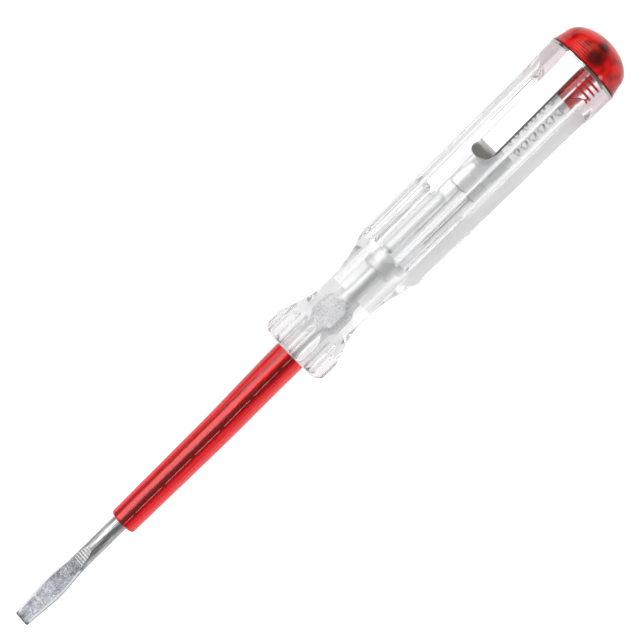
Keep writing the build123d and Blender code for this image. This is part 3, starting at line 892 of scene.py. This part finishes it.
front_lead = COIL_START + LEAD_LENGTH
coil_line = [coil_point(COIL_START, -LEAD_TURN), coil_point(front_lead, -LEAD_TURN)]
for t in (0.3, 0.6):
    x = front_lead + eased(t, 0, 1, 0, LEAD_BEND)
    coil_line.append(coil_point(x, LEAD_TURN * (t - 1)))
wound_start = front_lead + LEAD_BEND
for step in range(int(COIL_TURNS * TURN_STEPS) + 1):
    turn = step / TURN_STEPS
    x = wound_start + between(turn, [(0, 0), (1, CLOSE_PITCH), (COIL_TURNS, WOUND_LENGTH)])
    coil_line.append(coil_point(x, math.tau * turn))
wound_end = wound_start + WOUND_LENGTH
end_angle = math.tau * COIL_TURNS
for t in (0.4, 0.7):
    x = wound_end + eased(t, 0, 1, 0, LEAD_BEND)
    coil_line.append(coil_point(x, end_angle + LEAD_TURN * t))
rear_lead = wound_end + LEAD_BEND
for x in (rear_lead, rear_lead + LEAD_LENGTH):
    coil_line.append(coil_point(x, end_angle + LEAD_TURN))

coil_bm = bmesh.new()
ring = bmesh.ops.create_circle(
    coil_bm, segments=WIRE_SIDES, radius=WIRE_RADIUS, cap_ends=True
)["verts"]
ring_shape = [vert.co.copy() for vert in ring]
ring_edges = list({edge for vert in ring for edge in vert.link_edges})


def set_ring(verts, line, index):
    """Puts a ring of the wire square to its line at one of the line's points."""
    before = line[max(index - 1, 0)]
    after = line[min(index + 1, len(line) - 1)]
    heading = (after - before).normalized()
    outward = Vector((0, line[index].y, line[index].z)).normalized()
    outward = (outward - heading * outward.dot(heading)).normalized()
    side = heading.cross(outward)
    for vert, shape in zip(verts, ring_shape):
        vert.co = line[index] + outward * shape.x + side * shape.y


set_ring(ring, coil_line, 0)
for index in range(1, len(coil_line)):
    grown = bmesh.ops.extrude_edge_only(coil_bm, edges=ring_edges)["geom"]
    grown_edges = [part for part in grown if isinstance(part, bmesh.types.BMEdge)]
    ring_edges = [edge for edge in grown_edges if len(edge.link_faces) == 1]
    new_ring = [part for part in grown if isinstance(part, bmesh.types.BMVert)]
    new_ring.sort(
        key=lambda vert: min(range(WIRE_SIDES), key=lambda i: (vert.co - ring[i].co).length)
    )
    set_ring(new_ring, coil_line, index)
    ring = new_ring
coil_bm.faces.new(ring)
coil = finish_piece(coil_bm, "spring_coil", wire)
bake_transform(coil)
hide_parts("contact_spring")

# Spring cup: a drawn and plated thimble that carries the current from the spring to the clip's
# tongue. The stud of the screw cap presses on its floor.
dress("spring_cup", nickel)

# Pocket clip: one nickel-plated steel sheet. The washer sits under the cap, the arm bends over the
# collar's edge and runs down to a rounded lip that is turned up.
WASHER_FRONT = 0.13306
WASHER_EDGE = 0.00697
FINE = 0.00004
plate, plate_tree, plate_shader = finish("bright_plate")
plate_place = object_place(plate_tree)
plate_apart = split(plate_tree, plate_place)
plate_off = off_axis(plate_tree, plate_apart)
uneven_gloss(plate_tree, plate_shader, 3000, 6, 0.05, 0.21)

# In the bore and under the cap the plating is painted whiter and made less of a mirror, as painted
# light on faces that lie in shade. The lip, the washer's rim and the arm's lower edge are painted
# darker, as painted shade.
on_tongue = band(plate_tree, plate_off, -0.001, 0.0061, 0.0002)
on_washer = band(plate_tree, plate_apart["X"], WASHER_FRONT, 0.14, FINE)
on_seat = product(plate_tree, band(plate_tree, plate_off, -0.001, WASHER_EDGE, FINE), on_washer)
inner_lit_share = maths(plate_tree, "MAXIMUM", on_tongue, on_seat)
feed(plate_tree, times_plus(plate_tree, inner_lit_share, -0.7, 1.0), plate_shader, "Metallic")
lip_shade_share = band(plate_tree, plate_apart["X"], 0.1, 0.1121, 0.0006)
rim_shade_share = product(plate_tree, band(plate_tree, plate_off, WASHER_EDGE, 0.0072, FINE), on_washer)
edge_share = band(plate_tree, plate_apart["Y"], -0.01, -0.00176, 0.00006)
edge_share = product(plate_tree, edge_share, band(plate_tree, plate_apart["X"], 0.1, 0.1322, 0.0004))
plate_colour = (0.86, 0.85, 0.84)
for share, colour in (
    (inner_lit_share, (0.96, 0.95, 0.95)),
    (lip_shade_share, (0.34, 0.33, 0.31)),
    (rim_shade_share, (0.4, 0.39, 0.38)),
    (edge_share, (0.25, 0.24, 0.22)),
):
    plate_colour = mixed(plate_tree, share, plate_colour, colour)
feed(plate_tree, plate_colour, plate_shader, "Base Color")

washer_bm = bmesh.new()
washer_bm.from_mesh(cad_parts["clip_ring"].data)
bmesh.ops.scale(washer_bm, verts=washer_bm.verts, vec=(1 / MM, 1 / MM, 1 / MM))
bmesh.ops.remove_doubles(washer_bm, verts=washer_bm.verts, dist=WELD_DISTANCE)
bmesh.ops.dissolve_limit(
    washer_bm, angle_limit=math.radians(1), verts=washer_bm.verts, edges=washer_bm.edges
)
rims = [edge for edge in washer_bm.edges if edge.calc_face_angle(0.0) > math.radians(60)]
bmesh.ops.bevel(
    washer_bm,
    geom=rims,
    offset=0.06,
    offset_type="OFFSET",
    segments=3,
    profile=0.5,
    affect="EDGES",
    material=-1,
)
bmesh.ops.triangulate(washer_bm, faces=washer_bm.faces)
washer = finish_piece(washer_bm, "clip_washer", plate, 35.0)
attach(washer, "handle_body")
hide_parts("clip_ring")

# A line along the arm's outer face runs from the washer's tab over the fold and down to the lip.
TAB_START = 7.0
FOLD_X = 133.05
FOLD_Z = 7.12
FOLD_RADIUS = 0.275
LIP_BEND_RADIUS = 0.9
LIP_ANGLE = math.radians(42)
LIP_LENGTH = 3.768
LIP_DISH = 0.2
clip_line = [Vector((FOLD_X + FOLD_RADIUS, 0, z)) for z in (TAB_START, FOLD_Z)]
clip_line += [
    Vector((FOLD_X + FOLD_RADIUS * math.cos(a), 0, FOLD_Z + FOLD_RADIUS * math.sin(a)))
    for a in stations((0.2, math.pi / 2, 5))
]
arm_start = Vector((FOLD_X, 0, FOLD_Z + FOLD_RADIUS))
arm_bend = Vector((112.825, 0, 6.38))
arm_direction = (arm_bend - arm_start).normalized()
lip_direction = Vector((-math.cos(LIP_ANGLE), 0, math.sin(LIP_ANGLE)))
bend_turn = arm_direction.angle(lip_direction)
bend_setback = LIP_BEND_RADIUS * math.tan(bend_turn / 2)
bend_from = arm_bend - arm_direction * bend_setback
arm_normal = Vector((arm_direction.z, 0, -arm_direction.x))
clip_line += [arm_start.lerp(bend_from, t) for t in stations((0.02, 1, 10))[:-1]]
bend_centre = bend_from + arm_normal * LIP_BEND_RADIUS
for t in stations((0, 1, 8)):
    swing = bend_turn * t
    clip_line.append(
        bend_centre
        - arm_normal * LIP_BEND_RADIUS * math.cos(swing)
        + arm_direction * LIP_BEND_RADIUS * math.sin(swing)
    )
lip_end = arm_bend + lip_direction * LIP_LENGTH
lip_start = clip_line[-1]
lip_normal = Vector((-lip_direction.z, 0, lip_direction.x))
clip_line += [
    lip_start.lerp(lip_end, t) - lip_normal * LIP_DISH * t * (1 - t)
    for t in (0.2, 0.4, 0.5, 0.6, 0.7, 0.78, 0.85, 0.9, 0.94, 0.97, 0.99, 1.0)
]

# A grid is laid along that line, rounded at the lip, rolled down at its edges and thickened
# inwards. The rows in the fold and at the lip's end aren't rolled.
CLIP_HALF_WIDTH = 1.925
CLIP_COLUMNS = 18
ROLLED_FROM = 1.45
ROLL_DEPTH = 0.13
SHEET_THICKNESS = 0.225
FOLD_ROWS = 7
LIP_ROWS = 14
LIP_END_ROWS = 3
LIP_END_HALF_WIDTH = 0.02
edge_shares = [0.0, 0.3, 0.55, 0.75, 0.82, 0.87, 0.91, 0.95, 0.98, 1.0]
row_count = len(clip_line)
row_normals = []
for before, after in zip([clip_line[0]] + clip_line, clip_line[1:] + [clip_line[-1]]):
    heading = (after - before).normalized()
    row_normals.append(Vector((-heading.z, 0, heading.x)) * -1)
clip_bm = bmesh.new()
bmesh.ops.create_grid(clip_bm, x_segments=row_count - 1, y_segments=CLIP_COLUMNS, size=1)
for vert in clip_bm.verts:
    row = round((vert.co.x + 1) / 2 * (row_count - 1))
    from_end = (lip_end - clip_line[row]).length
    half_width = CLIP_HALF_WIDTH
    if row > row_count - LIP_ROWS and from_end < CLIP_HALF_WIDTH:
        half_width = math.sqrt(CLIP_HALF_WIDTH**2 - (CLIP_HALF_WIDTH - from_end) ** 2)
    side = math.copysign(edge_shares[round(abs(vert.co.y) * CLIP_COLUMNS / 2)], vert.co.y)
    vert.co = clip_line[row] + Vector((0, side * max(half_width, LIP_END_HALF_WIDTH), 0))
    if FOLD_ROWS < row < row_count - LIP_END_ROWS:
        roll = max(abs(side) * half_width - ROLLED_FROM, 0.0) / (CLIP_HALF_WIDTH - ROLLED_FROM)
        vert.co -= row_normals[row] * ROLL_DEPTH * roll**2
bmesh.ops.remove_doubles(clip_bm, verts=clip_bm.verts, dist=0.003)
sheet_faces = list(clip_bm.faces)
bmesh.ops.recalc_face_normals(clip_bm, faces=sheet_faces)
bmesh.ops.solidify(clip_bm, geom=sheet_faces, thickness=SHEET_THICKNESS)
clip = finish_piece(clip_bm, "clip_arm_sheet", plate, 50.0)
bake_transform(clip)
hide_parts("clip_arm")

# Screw cap: solid red see-through plastic, with a domed head, a flat seat for the washer and a
# threaded stud that ends in a plain pilot.
CAP_SEAT = 133.55
SEAT_RADIUS = 6.4
GROOVE_FLOOR = 133.71
EDGE_ROUNDING = 0.12
HEAD_RADIUS = 7.1
HEAD_LENGTH = 2.3
DOME_START = 135.85
DOME_RADIUS = 6.55
PEN_END = 140.0
PILOT_START = 127.2
PILOT_RADIUS = 2.95
STUD_START = 130.1
STUD_RADIUS = 3.13
STUD_THREAD_START = 130.2
STUD_THREAD_END = 132.8
STUD_THREAD_HEIGHT = 0.16
cap_bm = bmesh.new()
edge_radius = HEAD_RADIUS - EDGE_ROUNDING
dome = [(CAP_SEAT, STUD_RADIUS), (CAP_SEAT, SEAT_RADIUS)]
dome += [(GROOVE_FLOOR, SEAT_RADIUS + 0.1), (GROOVE_FLOOR, edge_radius)]
for a in stations((0.2, math.pi / 2, 4)):
    x = GROOVE_FLOOR + EDGE_ROUNDING * (1 - math.cos(a))
    dome.append((x, edge_radius + EDGE_ROUNDING * math.sin(a)))
for dx in stations((0.6, HEAD_LENGTH, 4)):
    dome.append((CAP_SEAT + dx, between(dx, [(0, HEAD_RADIUS), (HEAD_LENGTH, DOME_RADIUS)])))
dome_height = PEN_END - DOME_START
for share in stations((0.04, 1, 24)):
    swing = share * math.pi / 2
    dome.append((DOME_START + dome_height * math.sin(swing), DOME_RADIUS * math.cos(swing)))
stud = [(PILOT_START, 0), (PILOT_START, PILOT_RADIUS), (STUD_START, PILOT_RADIUS)]
stud += [(x, STUD_RADIUS) for x in stations((STUD_START, 133.2, 56))]
lathe(cap_bm, stud + dome, 240)
for vert in cap_bm.verts:
    radius = math.hypot(vert.co.y, vert.co.z)
    on_stud = 3.0 < radius < 3.3 and vert.co.x > STUD_START + 0.05
    if on_stud:
        off, line = from_thread(vert.co.x, vert.co.y, vert.co.z)
        if STUD_THREAD_START < line < STUD_THREAD_END:
            target = STUD_RADIUS + STUD_THREAD_HEIGHT * (0.5 + 0.5 * math.cos(off * math.tau))
            vert.co.y *= target / radius
            vert.co.z *= target / radius

cap_red, cap_tree, cap_shader = finish(
    "red_cap_plastic", Roughness=0.04, IOR=1.33, Transmission_Weight=0.55
)
cap_place = object_place(cap_tree)
cap_x = split(cap_tree, cap_place)["X"]
cap_cloud = streaks(cap_tree, cap_place, 520, 1, 1.0)
cap_ripple = streaks(cap_tree, cap_place, 700, 1, 2.0)


def spot(tree, place, centre, radius, soft=0.6):
    """1 at a point given in millimetres, fading to 0 at its radius."""
    node = add_node(tree, "ShaderNodeVectorMath", operation="DISTANCE")
    feed(tree, place, node, 0)
    node.inputs[1].default_value = [length * MM for length in centre]
    reach = radius * MM
    return band(tree, node.outputs["Value"], -reach, reach * (1 - soft / 2), reach * soft)


# Fine painted stripes of light show beside the clip, and the seat's groove is painted dark as painted
# shade.
STRIPE_PITCH = 0.00045
bent_x = times_plus(cap_tree, cap_ripple, 0.0005, cap_x)
cap_wave = maths(cap_tree, "SINE", product(cap_tree, bent_x, math.tau / STRIPE_PITCH))
cap_light_stripes = maths(cap_tree, "GREATER_THAN", cap_wave, 0.35)
cap_light_stripes = product(cap_tree, cap_light_stripes, spot(cap_tree, cap_place, (135.3, 0.9, 6.6), 2.0))
cap_light_stripes = product(cap_tree, cap_light_stripes, product(cap_tree, cap_cloud, 0.75))
cap_seat_shade = product(cap_tree, band(cap_tree, cap_x, 0.1334, 0.1339, 0.0002), 0.85)
cap_colour = ramp(
    cap_tree,
    cap_cloud,
    [(0.33, (0.42, 0.003, 0.003)), (0.45, (0.75, 0.005, 0.006)), (0.6, (1.0, 0.02, 0.015))],
)
cap_colour = mixed(cap_tree, cap_seat_shade, cap_colour, (0.05, 0.003, 0.003))
cap_colour = mixed(cap_tree, cap_light_stripes, cap_colour, (1.0, 0.35, 0.25))
# Painted light and shade on the cap: the bright red and pale pink spots are painted highlights, the
# dark ones painted shade.
for centre, radius, share, colour in (
    ((136.7, -0.5, 6.4), 1.0, 0.8, (1.0, 0.1, 0.03)),
    ((136.6, -1.7, 5.95), 3.2, 0.5, (0.2, 0.003, 0.003)),
    ((135.57, -1.87, 6.34), 2.2, 0.92, (0.03, 0.002, 0.002)),
    ((133.9, -4.7, 5.2), 0.6, 0.7, (1.0, 0.55, 0.5)),
    ((138.0, -1.59, 5.36), 1.5, 0.92, (0.02, 0.001, 0.001)),
    ((137.84, 4.33, 3.78), 1.3, 0.7, (0.12, 0.003, 0.003)),
):
    cap_light_and_shade_spot = product(cap_tree, spot(cap_tree, cap_place, centre, radius), share)
    cap_colour = mixed(cap_tree, cap_light_and_shade_spot, cap_colour, colour)
feed(cap_tree, cap_colour, cap_shader, "Base Color")
bump(cap_tree, cap_shader, cap_ripple, 0.0002, 0.12)
cap = finish_piece(cap_bm, "screw_cap_red", cap_red)
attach(cap, "screw_cap_body")
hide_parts("screw_cap")
